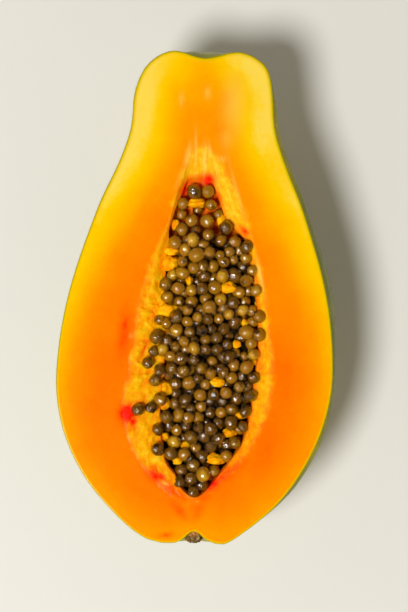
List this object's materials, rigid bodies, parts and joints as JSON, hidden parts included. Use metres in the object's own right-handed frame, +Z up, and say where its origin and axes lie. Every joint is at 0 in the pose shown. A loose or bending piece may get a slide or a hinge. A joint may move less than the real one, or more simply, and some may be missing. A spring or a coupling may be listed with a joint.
{
  "type": "papaya half",
  "caption": "Ripe papaya cut lengthwise, lying cut face up: a pear-shaped half with thin rind, thick flesh and a long hollow heaped with round seeds.",
  "frame": {"origin": "on the surface that the half rests on, under the middle of its bounding box", "axes": "+Z up, square to the cut face; +Y along the fruit to its stem end; +X to the right, seen from above with the stem end away from the viewer"},
  "size_m": [0.1362, 0.2407, 0.0695],
  "materials": {
    "papaya_flesh": "moist cut fruit flesh, deep orange and paler to the thin green and yellow rind",
    "papaya_seeds": "wet olive-brown seeds in clear jelly coats",
    "dry_blossom_end": "dry, corky brown blossom end"
  },
  "bodies": {
    "root": {"flesh": "papaya_flesh", "seeds": "papaya_seeds", "blossom_button": "dry_blossom_end"}
  },
  "joints": []
}
